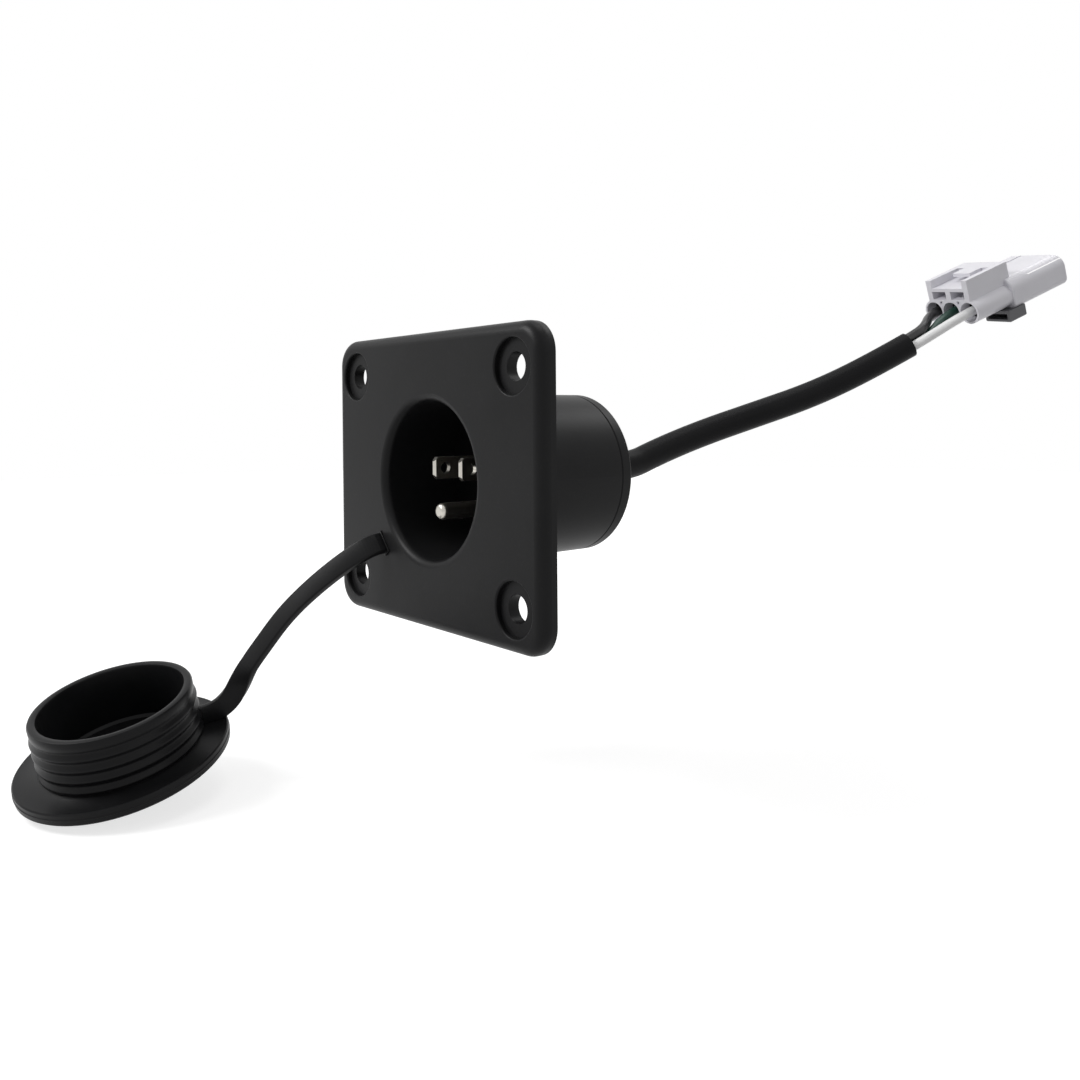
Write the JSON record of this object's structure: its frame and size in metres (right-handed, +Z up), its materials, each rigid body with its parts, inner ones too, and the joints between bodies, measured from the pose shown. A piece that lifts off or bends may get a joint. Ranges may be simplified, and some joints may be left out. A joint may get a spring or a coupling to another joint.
{
  "type": "flanged charger receptacle",
  "caption": "Flanged round inlet with sunk blade contacts, a tethered ribbed rubber cap and a short cord ending in a multi-way wire connector.",
  "frame": {"origin": "centre of the mounting hole pattern in the plane of the flange's back face", "axes": "+X to the right seen from the front, +Y along the barrel away from the front, +Z up"},
  "size_m": [0.1725, 0.325, 0.1649],
  "materials": {
    "housing_plastic": "satin moulded",
    "carrier_plastic": "matte moulded",
    "cover_plastic": "satin moulded",
    "contact_metal": "bright nickel plate",
    "sleeve_metal": "tinned",
    "screw_steel": "zinc plate",
    "bushing_rubber": "matte",
    "cap_rubber": "matte",
    "jacket_rubber": "satin",
    "black_insulation": "smooth",
    "green_insulation": "smooth",
    "white_insulation": "smooth",
    "connector_nylon": "natural nylon",
    "retainer_nylon": "satin moulded",
    "seal_rubber": "soft",
    "terminal_metal": "tin plate"
  },
  "bodies": {
    "root": {"flange_housing": "housing_plastic", "contact_carrier": "carrier_plastic", "line_blade": "contact_metal", "neutral_blade": "contact_metal", "ground_pin": "contact_metal", "line_sleeve": "sleeve_metal", "neutral_sleeve": "sleeve_metal", "ground_sleeve": "sleeve_metal", "line_lead": "black_insulation", "neutral_lead": "white_insulation", "ground_lead": "green_insulation", "keeper_screws": "screw_steel", "contact_keeper": "carrier_plastic", "rear_cover": "cover_plastic", "cover_screws": "screw_steel", "cord_bushing": "bushing_rubber", "sealing_cap": "cap_rubber", "cord_jacket": "jacket_rubber", "black_wire": "black_insulation", "green_wire": "green_insulation", "white_wire": "white_insulation", "connector_housing": "connector_nylon", "connector_retainer": "retainer_nylon", "black_wire_seal": "seal_rubber", "green_wire_seal": "seal_rubber", "white_wire_seal": "seal_rubber", "black_terminal": "terminal_metal", "green_terminal": "terminal_metal", "white_terminal": "terminal_metal"}
  },
  "joints": []
}
